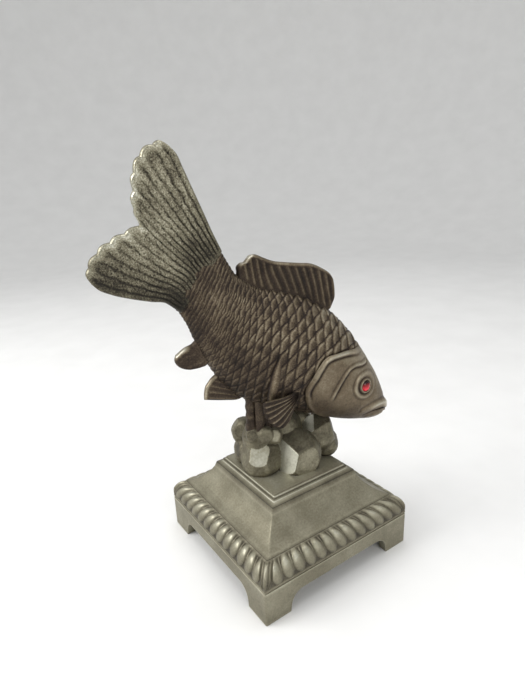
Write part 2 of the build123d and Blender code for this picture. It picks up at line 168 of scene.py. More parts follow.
def plate(name, front, back, finish, tone_and_painted_light):
    """A closed piece from two grids of points, face to face."""
    rings = np.concatenate([front, back[:, ::-1]], axis=1)
    values = np.concatenate([tone_and_painted_light, tone_and_painted_light[:, ::-1]], axis=1)
    return add_mesh(name, rings, plate_faces(*front.shape[:2]), finish, values)


# Materials
def node(tree, kind, **values):
    made = tree.nodes.new(kind)
    for key, value in values.items():
        setattr(made, key, value)
    return made


def ramp(tree, level, stops):
    """A colour for each level, between stops of a place and a colour."""
    made = node(tree, "ShaderNodeValToRGB")
    elements = made.color_ramp.elements
    while len(elements) < len(stops):
        elements.new(0.5)
    for element, (place, colour) in zip(elements, stops):
        element.position = place
        element.color = (*colour, 1)
    tree.links.new(level, made.inputs["Fac"])
    return made.outputs["Color"]


def maths(tree, operation, a, b):
    made = node(tree, "ShaderNodeMath", operation=operation)
    for socket, value in zip(made.inputs, (a, b)):
        if isinstance(value, (int, float)):
            socket.default_value = value
        else:
            tree.links.new(value, socket)
    return made.outputs[0]


def spread(tree, level, low, high):
    """The level from 0 to 1, brought to the range from low to high."""
    made = node(tree, "ShaderNodeMapRange")
    made.inputs["To Min"].default_value = low
    made.inputs["To Max"].default_value = high
    tree.links.new(level, made.inputs["Value"])
    return made.outputs["Result"]


def grain(tree, scale, detail=4.0, roughness=0.55):
    """Noise that lies fixed on the object, about 0.5 on average."""
    place = tree.nodes.get("Place") or node(tree, "ShaderNodeTexCoord", name="Place")
    made = node(tree, "ShaderNodeTexNoise")
    made.inputs["Scale"].default_value = scale
    made.inputs["Detail"].default_value = detail
    made.inputs["Roughness"].default_value = roughness
    tree.links.new(place.outputs["Object"], made.inputs["Vector"])
    return made.outputs["Fac"]


def new_material(name):
    made = bpy.data.materials.new(name)
    made.use_nodes = True
    return made, made.node_tree, made.node_tree.nodes["Principled BSDF"]


def aged_metal(
    name, stops, shine=(0.60, 0.30), blotch=0.30, fine=0.22, grit=1500, pits=0.25, bare=(0.55, 0.92),
):
    """Old cast metal: dark patina low down in hollows, worn light metal on tops, following the tone level,
    which also carries painted light and shade.

    shine and bare are the roughness and the metallic level, each at the low and at the high end of the tone
    level.
    """
    made, tree, shader = new_material(name)
    height = node(tree, "ShaderNodeAttribute", attribute_name="tone_and_painted_light").outputs["Fac"]
    cloud = maths(tree, "MULTIPLY", maths(tree, "SUBTRACT", grain(tree, 110, 6.0), 0.5), 2 * blotch)
    speck = maths(tree, "MULTIPLY", maths(tree, "SUBTRACT", grain(tree, grit, 3.0), 0.5), 2 * fine)
    level = maths(tree, "ADD", maths(tree, "ADD", height, cloud), speck)
    tree.links.new(ramp(tree, level, stops), shader.inputs["Base Color"])
    tree.links.new(spread(tree, level, *shine), shader.inputs["Roughness"])
    tree.links.new(spread(tree, level, *bare), shader.inputs["Metallic"])
    dent = node(tree, "ShaderNodeBump")
    dent.inputs["Strength"].default_value = pits
    dent.inputs["Distance"].default_value = 0.00012
    tree.links.new(grain(tree, 2200, 4.0, 0.6), dent.inputs["Height"])
    tree.links.new(dent.outputs["Normal"], shader.inputs["Normal"])
    return made


brown_stops = [
    (0.00, (0.012, 0.008, 0.006)),
    (0.25, (0.052, 0.036, 0.024)),
    (0.50, (0.160, 0.124, 0.080)),
    (0.75, (0.330, 0.285, 0.205)),
    (1.00, (0.600, 0.570, 0.470)),
]
grey_stops = [
    (0.00, (0.018, 0.015, 0.010)),
    (0.25, (0.073, 0.063, 0.042)),
    (0.50, (0.200, 0.182, 0.125)),
    (0.75, (0.375, 0.355, 0.265)),
    (1.00, (0.650, 0.640, 0.540)),
]
pewter = aged_metal("aged_pewter", brown_stops, fine=0.26, grit=1900)
pewter_head = aged_metal("aged_pewter_smooth", brown_stops, (0.58, 0.30), blotch=0.26, fine=0.16, pits=0.2)
pewter_tail = aged_metal("aged_pewter_pitted", grey_stops, blotch=0.36, fine=0.60, grit=2400, pits=0.55)
pewter_rock = aged_metal("aged_pewter_rock", grey_stops, (0.62, 0.42), blotch=0.18, fine=0.17, pits=0.25)
pewter_base = aged_metal(
    "aged_pewter_base", grey_stops, (0.58, 0.36), blotch=0.20, fine=0.12, pits=0.14, bare=(0.40, 0.68),
)


def red_glass():
    """Red glass with a painted glow: dark towards its top and painted light red lower down, where light that
    passes through the stone comes out.
    """
    made, tree, shader = new_material("red_glass")
    height = node(tree, "ShaderNodeAttribute", attribute_name="tone_and_painted_light").outputs["Fac"]
    cloud = maths(tree, "MULTIPLY", maths(tree, "SUBTRACT", grain(tree, 420, 3.0), 0.5), 0.16)
    painted_glow_level = maths(tree, "ADD", height, cloud)
    stops = [(0.22, (0.012, 0.0, 0.001)), (0.5, (0.36, 0.002, 0.008)), (0.85, (1.0, 0.03, 0.06))]
    tree.links.new(ramp(tree, painted_glow_level, stops), shader.inputs["Base Color"])
    shader.inputs["Roughness"].default_value = 0.16
    shader.inputs["Specular IOR Level"].default_value = 0.35
    shader.inputs["Coat Weight"].default_value = 0.2
    shader.inputs["Coat Roughness"].default_value = 0.03
    return made


def zinc_steel():
    made, tree, shader = new_material("zinc_steel")
    stops = [(0.35, (0.34, 0.34, 0.33)), (0.70, (0.56, 0.56, 0.54))]
    tree.links.new(ramp(tree, grain(tree, 700, 5.0), stops), shader.inputs["Base Color"])
    tree.links.new(spread(tree, grain(tree, 900, 3.0), 0.28, 0.46), shader.inputs["Roughness"])
    shader.inputs["Metallic"].default_value = 1.0
    return made


eye_glass = red_glass()
steel = zinc_steel()

# Frame of the fish: s runs from snout to tail, t towards the back, y to its left side.
# At the perch, a share of the length from the snout, its axis is this far forward and over the platform.
body_length, body_depth, body_width = 91.5, 42.0, 23.4
platform_top = 33.0
perch_share, perch_forward, perch_rise = 0.566, 4.2, 46.7
dive, turn = radians(39.05), radians(-15.0)
upward = np.array([0.0, 0.0, 1.0])
heading = np.array([cos(turn), sin(turn), 0.0])
left_side = np.array([-sin(turn), cos(turn), 0.0])
tailward = upward * sin(dive) - heading * cos(dive)
backward = heading * sin(dive) + upward * cos(dive)
snout = heading * perch_forward + upward * (platform_top + perch_rise) - tailward * perch_share * body_length


def world(s, t, y):
    """Points of the fish's frame in the object's frame."""
    s, t, y = np.broadcast_arrays(s, t, y)
    return snout + s[..., None] * tailward + t[..., None] * backward + y[..., None] * left_side


# Stations along the body: place from snout to tail root, height of the back and of the belly over
# the axis, and half width, as shares of the body's length, depth and width.
stations = np.array([
    (0.005, -0.010, -0.116, 0.085),
    (0.022, 0.017, -0.159, 0.180),
    (0.087, 0.113, -0.240, 0.282),
    (0.175, 0.211, -0.338, 0.372),
    (0.284, 0.297, -0.417, 0.440),
    (0.393, 0.368, -0.493, 0.483),
    (0.503, 0.400, -0.572, 0.500),
    (0.612, 0.375, -0.615, 0.479),
    (0.721, 0.300, -0.580, 0.410),
    (0.820, 0.212, -0.498, 0.320),
    (0.896, 0.200, -0.405, 0.248),
    (0.951, 0.240, -0.329, 0.175),
    (1.000, 0.286, -0.281, 0.125),
])


def back_at(s):
    return curve(s / body_length, stations[:, 0], stations[:, 1]) * body_depth


def belly_at(s):
    return curve(s / body_length, stations[:, 0], stations[:, 2]) * body_depth


def half_at(s):
    return curve(s / body_length, stations[:, 0], stations[:, 3]) * body_width


def flank(s, t):
    """Distance of the flank from the fish's middle plane."""
    middle, reach = (back_at(s) + belly_at(s)) / 2, (back_at(s) - belly_at(s)) / 2
    return half_at(s) * np.sqrt(np.clip(1 - ((t - middle) / reach) ** 2, 0, 1))


# The gill cover's rear rim goes round the body from the throat, at -1, to the nape, at 1.
rim_place = [-1.0, -0.92, -0.82, -0.68, -0.53, -0.40, -0.28, -0.13, 0.03, 0.19, 0.30, 0.46]
rim_place += [0.60, 0.80, 0.92, 1.0]
rim_along = [22.5, 25.1, 30.7, 35.5, 38.8, 40.7, 41.4, 41.6, 42.0, 42.0, 41.3, 38.1]
rim_along += [35.1, 30.8, 28.9, 28.3]
# Lines of the head's side view, as points (s, t).
rim_line = [
    (28.3, 12.9), (30.8, 10.7), (35.1, 8.1), (38.1, 5.8), (41.0, 2.8), (42.0, 0.5), (42.0, -2.5),
    (41.6, -5.6), (41.4, -8.6), (40.7, -10.9), (38.8, -12.9), (35.5, -14.9), (30.7, -16.0), (25.1, -16.0),
    (22.5, -15.9),
]
cheek_line = [
    (24.6, 9.3), (26.4, 7.8), (30.0, 5.4), (31.4, 2.7), (31.6, 0.2), (31.4, -2.7), (30.9, -5.7),
    (29.9, -9.2),
]
upper_lip = [(13.2, -6.1), (12.2, -4.5), (10.7, -2.6), (8.7, -0.8), (6.4, 0.5), (3.5, 0.9), (1.2, 0.4)]
mouth_line = [(11.6, -7.9), (10.5, -6.3), (8.9, -4.5), (6.9, -2.9), (5.0, -1.6), (3.1, -1.1), (-0.4, -1.2)]
lower_lip = [(8.6, -7.6), (7.2, -6.2), (5.3, -4.6), (3.0, -3.1), (0.4, -2.7)]
eye_place = (20.2, 1.9)
nose_start, nose_round = 0.9, 1.4


def body_rings(s, theta):
    """Points (s, t, y) of the plain body, rounded off at the snout."""
    k = np.sqrt(np.clip(1 - (np.clip(nose_start - s, 0, nose_round) / nose_round) ** 2, 0, 1))
    held = np.maximum(s, nose_start)
    middle, reach = (back_at(held) + belly_at(held)) / 2, (back_at(held) - belly_at(held)) / 2
    t = middle + reach * k * np.sin(theta)
    y = half_at(held) * k * np.cos(theta)
    return np.stack(np.broadcast_arrays(s, t, y), -1)


def ring_normals(rings):
    """Unit normals of the rings' surface, pointing out of it."""
    along = np.gradient(rings, axis=0)
    around = np.roll(rings, -1, axis=1) - np.roll(rings, 1, axis=1)
    out = np.cross(along, around)
    out /= np.linalg.norm(out, axis=-1, keepdims=True) + 1e-9
    centre = rings.mean(axis=1, keepdims=True)
    facing = ((rings - centre)[..., 1:] * out[..., 1:]).sum(-1, keepdims=True).mean()
    return out if facing > 0 else -out


def to_world(rings):
    return world(rings[..., 0], rings[..., 1], rings[..., 2])


# Head: smooth cheeks, lips, rings round the eye and a raised gill cover
def make_head():
    columns, nose_rows, side_rows = 440, 14, 204
    theta = np.linspace(0, 2 * pi, columns, endpoint=False)[None, :]
    rim_s = curve(np.sin(theta), rim_place, rim_along)
    end = rim_s + 1.0
    nose = nose_start - nose_round * np.cos(np.linspace(0.06, pi / 2, nose_rows))[:, None]
    run = np.linspace(0, 1, side_rows + 1)[1:, None]
    s = np.concatenate([np.broadcast_to(nose, (nose_rows, columns)), nose_start + (end - nose_start) * run])
    rings = body_rings(s, theta)
    jaw = step(away(s, rings[..., 1], mouth_line), 0.0, 1.5) * (1 - step(s, 1.0, 8.0))
    rings[..., 0] += 1.3 * jaw
    out = ring_normals(rings)
    s, t = rings[..., 0], rings[..., 1]
    rim = away(s, t, rim_line)
    ahead = np.where(s < rim_s, np.abs(rim), 0)
    cheek = away(s, t, cheek_line)
    lip = away(s, t, upper_lip)
    r = np.hypot(s - eye_place[0], t - eye_place[1])
    angle = np.arctan2(t - eye_place[1], s - eye_place[0])
    outer = 4.5 + 0.45 * np.cos(angle - 0.1)
    strong = 0.65 + 0.35 * np.cos(angle + 0.7)
    flush = 1 - 0.85 * step(np.sin(theta), 0.66, 0.94)
    fade = step(t, -10.2, -7.0)
    nape = 1 - step(t, 7.0, 11.5)
    band = 0.34 * flush * (0.25 + 0.75 * nape) * bump(rim, 0.55)
    # The rim band is lighter all along as wear, with a painted highlight on its upper middle.
    rim_wear_and_highlight = band * (0.25 + 0.75 * bump(t - 4.0, 6.0))
    ridges = 0.34 * fade * bump(cheek, 0.48) + 0.26 * bump(away(s, t, lower_lip), 0.8)
    ridges += 0.66 * bump(lip, 1.05) * (1 - 0.8 * step(s, 9.5, 13.0))
    ridges += 0.42 * bump(r - 2.35, 0.30) + 0.40 * strong * bump(r - outer, 0.65)
    grooves = 0.40 * bump(ahead - 1.25, 0.40) * step(t, -13.5, -10.5) * (0.15 + 0.85 * nape)
    grooves += 0.32 * fade * bump(cheek + 1.0, 0.38) + 0.14 * fade * bump(cheek - 1.0, 0.45)
    parting = bump(away(s, t, mouth_line), 0.34) * (1 - 0.75 * step(s, 7.5, 11.5))
    grooves += 0.50 * parting + 0.14 * bump(lip + 1.9, 0.6)
    grooves += 0.40 * strong * bump(r - 3.15, 0.40) + 0.16 * strong * bump(r - outer - 1.05, 0.45)
    socket = 1.3 * (1 - step(r, 1.80, 2.12))
    cover = 0.50 * flush * bump(ahead, 5.0) * step(s, 22.0, 30.0)
    uneven = 0.10 * rough(rings, 5.0) + 0.04 * rough(rings, 1.6)
    lift = cover + band + ridges - grooves - socket + uneven
    points = rings + out * lift[..., None]
    # Painted light: the top of the head is painted lighter and its lower side darker, and the lower jaw
    # below the mouth line is painted darker, as shade.
    shade = 0.53 + 0.07 * step(t, 0.0, 8.0) - 0.15 * step(-t, 2.0, 13.0)
    shade = shade - 0.12 * step(away(s, t, mouth_line), 0.2, 1.0) * (1 - step(s, 6.0, 12.0))
    tone_and_painted_light = shade + 0.8 * rim_wear_and_highlight + 0.55 * ridges - 1.15 * grooves - 0.5 * socket + 0.7 * uneven
    edge_s = points[-1, :, 0]
    centre = np.stack([edge_s, (back_at(end[0]) + belly_at(end[0])) / 2, 0 * edge_s], -1)
    radial = points[-1] - centre
    length = np.linalg.norm(radial, axis=-1, keepdims=True)
    tuck = []
    for back, inward in ((0.22, 0.30), (0.25, 0.75), (-0.10, 1.3), (-0.8, 2.3)):
        ring = centre + radial * (length - inward) / length
        ring[..., 0] += back
        tuck.append(ring)
    points = np.concatenate([points, np.stack(tuck)])
    # Painted shade: the turned-in rings under the gill cover's edge go dark, down to black.
    dark = np.array([0.60, 0.22, 0.04, 0.0])[:, None] * np.ones((1, columns))
    tone_and_painted_light = np.concatenate([tone_and_painted_light, dark])
    tip = points[0].mean(0)
    ends = to_world(np.array([tip, (33.0, -2.0, 0.0)]))
    return tube("fish_head", to_world(points), pewter_head, tone_and_painted_light, ends)


head = make_head()
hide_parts("fish_body")


# Trunk: rows of overlapping scales that grow smaller and run into fine ridges towards the tail
def scale_height(c, r, bend):
    """Height and tone of overlapping scales at column c and row r."""
    low = np.floor(r)
    best_front = np.full(c.shape, 1e9)
    height = np.zeros(c.shape)
    tone = np.zeros(c.shape)
    for j in (low, low + 1):
        y = np.abs(r - j)
        edge = 0.5 * bend * (1 - y ** 1.6)
        shift = 0.5 * bend * np.mod(j, 2)
        front = np.ceil(c - edge - shift) + shift
        d = edge - (c - front)
        drop = 1 - bump(d, 0.15)
        body = np.clip(1 - d, 0, 1)
        height = np.where(front < best_front, body ** 0.8 * drop, height)
        tone = np.where(front < best_front, (0.80 * body ** 0.5 + 0.24 * bump(d - 0.26, 0.09)) * drop, tone)
        best_front = np.minimum(front, best_front)
    return height, tone


def make_trunk():
    columns, rows = 324, 296
    theta = np.linspace(0, 2 * pi, columns, endpoint=False)[None, :] + pi / 2
    begin = curve(np.sin(theta), rim_place, rim_along) - 2.0
    run = np.linspace(0, 1, rows)[:, None]
    run = run + 0.10 * np.sin(pi * run)
    ragged = 93.4 + 0.55 * np.sin(9 * theta) + 0.40 * np.sin(23 * theta + 1.0)
    s = begin + (ragged - begin) * run
    rings = body_rings(s, theta)
    out = ring_normals(rings)
    t = rings[..., 1]
    step_length = np.linalg.norm(np.diff(rings, axis=1, append=rings[:, :1]), axis=-1)
    travelled = np.concatenate([np.zeros((rows, 1)), np.cumsum(step_length, axis=1)[:, :-1]], axis=1)
    share = travelled / step_length.sum(axis=1, keepdims=True)
    share = np.where(share > 0.5, 1 - share, share) * 2
    row = 12.4 * share - 0.4
    fine = np.linspace(20, 96, 400)
    spacing = [4.3, 4.2, 4.0, 3.4, 2.7, 2.0, 1.45, 1.2, 1.2]
    pitch = curve(fine, [20, 42, 50, 60, 68, 75, 83, 90, 96], spacing)
    count = np.concatenate([[0], np.cumsum(np.diff(fine) / pitch[1:])])
    column = np.interp(s - 0.15 * t * step(s, 30, 44), fine, count)
    rear = step(s, 68, 86)
    column = column + (0.08 + 0.22 * rear) * rough(rings, 2.2)
    row = row + (0.06 + 0.20 * rear) * rough(rings + 40.0, 2.6)
    scales, tone = scale_height(column, row, 1 - 0.62 * rear)
    size = curve(s, [38, 45, 60, 75, 88, 94], [0.60, 0.66, 0.58, 0.42, 0.30, 0.25])
    uneven = 0.06 * rough(rings, 4.0)
    dip = 0.35 * (1 - step(s - begin, 2.0, 6.0))
    lift = size * (scales - 0.55) - 0.4 * step(run, 0.985, 1.0) - dip + uneven
    points = rings + out * lift[..., None]
    # Painted light: the lower flank and the rear part are painted darker, as shade, and the upper front
    # lighter, as lit.
    shade = 1 - 0.40 * step(-t, 1.0, 17.0) - 0.12 * rear + 0.16 * (1 - step(s, 44, 66)) * step(t, -4.0, 8.0)
    tone_and_painted_light = (0.02 + 0.66 * tone) * shade + 0.10 * rough(rings, 3.0)
    # Painted shade: the trunk is darker where it starts, just behind the gill cover's edge.
    tone_and_painted_light *= 0.40 + 0.60 * step(s - begin, 2.4, 4.5)
    ends = to_world(np.array([(points[0, :, 0].mean(), -2.0, 0.0), (93.8, 0.2, 0.0)]))
    return tube("fish_trunk", to_world(points), pewter, tone_and_painted_light, ends)


make_trunk()


# Fins: plates with rays between four outline curves
def patch(root, edge, first, last, u, v):
    """Points between the root, the far edge and the two side curves of a fin."""
    u, v = u[:, None, None], v[None, :, None]
    r, e = path(root, v[0, :, 0])[None], path(edge, v[0, :, 0])[None]
    a, b = path(first, u[:, 0, 0])[:, None], path(last, u[:, 0, 0])[:, None]
    near = (1 - u) * r[:, :1] + u * e[:, :1]
    far = (1 - u) * r[:, -1:] + u * e[:, -1:]
    return (1 - u) * r + u * e + (1 - v) * (a - near) + v * (b - far)


def ribs(phase, width):
    """Hills at each whole number of the phase."""
    return bump(phase - np.round(phase), width)


def make_fin(name, outline, pattern, thick, size, middle=None, waves=(0, 0.0), finish=pewter):
    """A fin with rounded edges.

    thick is its half thickness at root and edge, size its rows and columns of points, middle its
    distance from the fish's middle plane, and waves the count and height of its edge's scallops.
    """
    rows, columns = size
    u = np.linspace(0, 1, rows)
    u = u + 0.025 * np.sin(2 * pi * u) + 0.06 * np.sin(pi * u)
    v = np.linspace(0, 1, columns)
    v = v - 0.045 * np.sin(2 * pi * v)
    flat = patch(*outline, np.clip(u, 0, 1), v)
    u, v = np.clip(u, 0, 1)[:, None], v[None, :]
    outward = flat - flat[:1]
    outward /= np.linalg.norm(outward, axis=-1, keepdims=True) + 1e-6
    count, reach = waves
    scallop = reach * (np.abs(np.sin(pi * count * v)) - 0.6) * step(u, 0.86, 1.0)
    flat = flat + outward * scallop[..., None]
    first = np.linalg.norm(flat - flat[:, :1], axis=-1)
    last = np.linalg.norm(flat - flat[:, -1:], axis=-1)
    edge = np.linalg.norm(flat - flat[-1:], axis=-1)
    near = np.minimum(np.minimum(first, last), edge)
    half = thick[0] + (thick[1] - thick[0]) * step(u, 0, 0.85)
    ease = np.sqrt(1 - (1 - np.clip(near / 1.1, 0, 1)) ** 2)
    height, tone_and_painted_light = pattern(flat[..., 0], flat[..., 1], u, v, (first, last, edge))
    thickness = np.maximum((half + height) * ease, 0.06)
    y = middle(u) if middle else 0 * u
    front = world(flat[..., 0], flat[..., 1], y - thickness)
    back = world(flat[..., 0], flat[..., 1], y + thickness)
    return plate(name, front, back, finish, tone_and_painted_light)


def tail_rays(s, t, u, v, sides):
    first, last, edge = sides
    place = np.stack([s, t, 0 * s], -1)
    cloud, pit = rough(place, 2.6), rough(place, 0.62)
    inner = step(u, 0.01, 0.06) * step(edge, 1.4, 3.6) * step(np.minimum(first, last), 0.5, 1.5)
    grooves = ribs(18 * v + 0.16 * cloud, 0.16) * inner * (1 - 0.42 * step(u, 0.15, 0.75))
    grooves *= 0.85 + 0.5 * cloud
    pits = np.clip(pit - 0.12, 0, 1) * inner * step(u, 0.12, 0.45)
    bead = bump(edge - 1.0, 1.1)
    flutes = np.cos(2 * pi * 11 * v) * step(u, 0.78, 0.92) * step(edge, 0.5, 1.5)
    height = 0.36 * (0.35 - grooves) + 0.20 * bead - 0.30 * pits + 0.10 * flutes
    # Painted light: the root and the lower lobe are painted darker, as shade, and the edge bead lighter, as
    # a painted highlight.
    shade = 0.56 - 0.24 * (1 - step(u, 0.0, 0.45)) - 0.24 * (1 - step(first, 1.0, 13.0))
    return height, shade - 0.52 * grooves + 0.22 * bead - 0.60 * pits + 0.07 * flutes + 0.10 * cloud


def dorsal_rays(s, t, u, v, sides):
    first, last, edge = sides
    above = t - back_at(s)
    inner = step(edge, 0.8, 1.8) * step(last, 1.0, 2.0) * step(above, -0.6, 1.2)
    rib = ribs((s - 0.95 * above - 43.0) / 2.92, 0.25) * inner
    rim, rear = bump(edge - 0.4, 0.6), bump(last - 0.5, 1.0) * step(above, 1.5, 4.0)
    height = 0.50 * rib - 0.32 * inner + 0.12 * rim + 0.35 * rear
    # Painted light: the rear edge is painted much lighter, as a highlight, and the low base tone of the fin
    # is a painted dark reflection.
    return height, 0.12 + 0.30 * rib + 0.46 * rim + 0.75 * rear + 0.12 * bump(first, 2.0)


def anal_rays(s, t, u, v, sides):
    last, edge = sides[1:]
    rib = ribs(2.5 * v + 0.3, 0.16) * step(u, 0.2, 0.4) * step(edge, 1.0, 2.2)
    rear = bump(last - 0.3, 0.9) * step(u, 0.3, 0.6)
    # Painted highlight: the rear edge is painted lighter.
    return 0.16 * rib + 0.12 * rear, 0.24 + 0.12 * rib + 0.75 * rear


def pelvic_rays(s, t, u, v, sides):
    first, edge = sides[0], sides[2]
    rib = ribs(5.5 * v + 0.5, 0.17) * step(edge, 0.9, 2.0) * step(first, 0.4, 1.0)
    rim = bump(edge - 0.5, 0.55)
    # Painted highlight: the far edge, at the fin's rear, is painted lighter.
    return 0.26 * rib - 0.12 + 0.10 * rim, 0.19 + 0.20 * rib + 0.52 * rim


def pectoral_rays(s, t, u, v, sides):
    edge = sides[2]
    rib = ribs(6 * v ** 0.9, 0.17) * step(edge, 0.1, 0.7)
    return 0.50 * rib - 0.25, 0.12 + 0.46 * rib * step(u, 0.05, 0.4)


# Fin outlines: the root, the far edge and the two sides, as points (s, t).
tail_outline = (
    [(91.0, -11.7), (91.0, -6.0), (91.0, 0.2), (91.0, 6.0), (91.0, 12.1)],
    [
        (118.4, -18.5), (120.8, -16.5), (121.9, -13.9), (121.9, -10.6), (121.3, -7.0), (120.3, -4.3),
        (118.9, -1.2), (117.3, 1.6), (116.2, 4.1), (118.6, 5.9), (121.1, 8.3), (122.8, 11.2),
        (124.7, 13.9), (125.9, 17.1), (126.4, 20.1), (125.9, 23.3), (124.8, 25.8), (123.3, 27.2),
        (121.1, 27.9),
    ],
    [
        (91.0, -11.7), (95.9, -11.5), (100.7, -13.7), (106.3, -16.2), (111.4, -18.0), (115.6, -18.8),
        (118.4, -18.5),
    ],
    [(91.0, 12.1), (97.0, 15.3), (102.1, 18.3), (108.2, 21.8), (114.0, 25.1), (118.3, 27.4), (121.1, 27.9)],
)
tail = make_fin(
    "tail_rayed", tail_outline, tail_rays, (2.35, 1.05), (150, 310), waves=(11, 0.8), finish=pewter_tail,
)
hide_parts("tail_fin")

dorsal_outline = (
    [(46.8, 14.6), (55.0, 14.3), (64.0, 12.2), (73.0, 8.4), (81.4, 6.4)],
    [
        (52.0, 26.4), (54.8, 27.3), (58.5, 26.9), (62.0, 26.0), (65.6, 23.9), (70.3, 21.1), (74.5, 18.9),
        (78.1, 17.9), (80.3, 17.4), (81.7, 16.5), (82.3, 15.6),
    ],
    [(46.8, 14.6), (46.3, 18.0), (46.9, 20.6), (49.3, 24.1), (52.0, 26.4)],
    [(81.4, 6.4), (82.4, 8.8), (83.7, 10.6), (83.4, 11.9), (82.5, 12.8), (82.3, 15.6)],
)
dorsal = make_fin("dorsal_rayed", dorsal_outline, dorsal_rays, (1.7, 1.2), (90, 300))
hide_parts("dorsal_fin")

anal_outline = (
    [(73.6, -19.6), (77.6, -18.0), (81.4, -16.2)],
    [(77.4, -26.1), (79.2, -27.0), (80.9, -27.3), (82.6, -26.9), (83.7, -26.0), (84.2, -24.6)],
    [(73.6, -19.6), (73.4, -21.8), (74.6, -23.7), (77.4, -26.1)],
    [(81.4, -16.2), (81.8, -18.6), (83.2, -21.0), (84.2, -24.6)],
)
anal = make_fin("anal_rayed", anal_outline, anal_rays, (1.7, 1.4), (70, 120))
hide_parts("anal_fin")

pelvic_outline = (
    [(54.6, -23.6), (56.0, -22.5), (57.5, -21.5)],
    [(66.9, -33.0), (68.4, -30.8), (69.3, -28.3), (69.3, -26.0), (68.8, -23.6), (67.6, -21.2)],
    [(54.6, -23.6), (56.2, -26.9), (60.0, -29.4), (66.9, -33.0)],
    [(57.5, -21.5), (62.0, -20.8), (67.6, -21.2)],
)
pelvic = make_fin("pelvic_rayed", pelvic_outline, pelvic_rays, (1.6, 1.2), (100, 110))
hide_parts("pelvic_fin")

pectoral_outline = (
    [(43.8, -12.3), (43.2, -13.4), (42.2, -14.6)],
    [(53.8, -21.6), (52.3, -23.5), (49.8, -25.4), (47.0, -26.6), (43.9, -26.9), (41.6, -26.2)],
    [(43.8, -12.3), (46.8, -16.0), (50.2, -18.9), (53.8, -21.6)],
    [(42.2, -14.6), (41.6, -18.5), (40.9, -23.4), (41.6, -26.2)],
)


def make_pectoral(name, side):
    def off_flank(u):
        return side * (9.6 + 2.4 * u ** 0.8)

    fin = make_fin(
        f"pectoral_rayed_{name}", pectoral_outline, pectoral_rays, (1.0, 0.8), (80, 150),
        middle=off_flank, waves=(6, 0.5),
    )
    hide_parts(f"pectoral_fin_{name}")


make_pectoral("right", -1)
make_pectoral("left", 1)


# Eyes: red glass cabochons
def make_eye(name, side):
    def flank_y(s, t):
        return side * float(flank(np.array(s), np.array(t)))

    s, t = eye_place
    d = 0.4
    girdle, crown = 1.96, 1.2
    centre = np.array([s, t, flank_y(s, t)])
    along = np.array([2 * d, 0, flank_y(s + d, t) - flank_y(s - d, t)])
    up = np.array([0, 2 * d, flank_y(s, t + d) - flank_y(s, t - d)])
    out = np.cross(along, up)
    out /= np.linalg.norm(out)
    if out[2] * side < 0:
        out = -out
    across = np.cross(out, (0, 1, 0))
    across /= np.linalg.norm(across)
    upright = np.cross(out, across)
    profile = [(1.92, -1.2), (girdle, -0.3)]
    profile += [(girdle * cos(a), -0.25 + crown * sin(a)) for a in np.linspace(0.05, 1.5, 14)]
    a = np.linspace(0, 2 * pi, 48, endpoint=False)[:, None]
    around = np.cos(a) * across + np.sin(a) * upright
    rings = to_world(np.stack([centre + radius * around + height * out for radius, height in profile]))
    ends = to_world(np.array([centre - 1.2 * out, centre + 0.955 * out]))
    # Painted glow: lower points get a higher level, so the stone is painted dark at its top and glowing red
    # at its bottom.
    low = (rings[..., 2].mean() - rings[..., 2]) / girdle
    eye = tube(f"eye_glass_{name}", rings, eye_glass, 0.55 + 0.50 * low, ends)
    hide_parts(f"eye_stone_{name}")


make_eye("right", -1)
make_eye("left", 1)


# Rocks: boulders with flat worn facets, run together. Each has its centre over the platform and its radius,
# then facets: azimuth, elevation, distance as a share of the radius, and tone. Each facet's tone is worn
# metal plus painted light: high on facets that face the lamps, as a painted highlight, and low on those
# turned away, as painted shade.
plain_tone = 0.43
boulders = [
    ((1.5, 3.5, 4.5, 8.8), [(80, 25, 0.82, 0.50), (135, 15, 0.84, 0.42), (25, 25, 0.84, 0.46)]),
    ((2.5, 4.5, 11.0, 8.0), [(95, 30, 0.80, 0.54), (150, 20, 0.82, 0.40), (40, 35, 0.82, 0.46)]),
    ((11.2, 4.8, 13.0, 4.8), [(60, 15, 0.80, 0.50), (125, 25, 0.82, 0.42)]),
    ((10.2, 2.2, 5.8, 6.9), [(75, 20, 0.84, 0.46), (20, 15, 0.84, 0.42)]),
    ((2.4, -5.6, 4.6, 8.9), [(-165, 17, 0.70, 0.98), (-100, 4, 0.80, 0.56), (-125, 62, 0.74, 0.36)]),
    ((-9.6, 0.7, 4.6, 7.5), [(-132, 37, 0.80, 0.82), (-75, 12, 0.84, 0.36), (170, 25, 0.84, 0.46)]),
    ((13.8, -4.0, 9.2, 6.8), [
        (176, 47, 0.80, 1.0), (-100, 18, 0.80, 0.42), (-125, 62, 0.82, 0.38), (-40, 15, 0.84, 0.30),
        (35, 20, 0.82, 0.46),
    ]),
    ((16.4, -5.2, 4.4, 5.2), [(-50, 20, 0.84, 0.30), (-105, 25, 0.84, 0.38)]),
    ((-9.7, 11.0, 11.6, 5.0), [(150, 35, 0.88, 0.50), (-140, 15, 0.86, 0.40), (85, 20, 0.84, 0.46)]),
    ((-8.8, 8.6, 4.5, 6.4), [(170, 10, 0.90, 0.36), (105, 15, 0.84, 0.50)]),
    ((-8.8, 3.0, 11.6, 6.0), []),
    ((-12.0, 0.9, 14.8, 3.0), [(-140, 10, 0.75, 0.34)]),
    ((-9.3, -2.2, 14.8, 3.1), [(-110, 20, 0.75, 0.42)]),
    ((-6.0, -3.6, 13.8, 2.8), [(-120, 30, 0.70, 0.54)]),
]


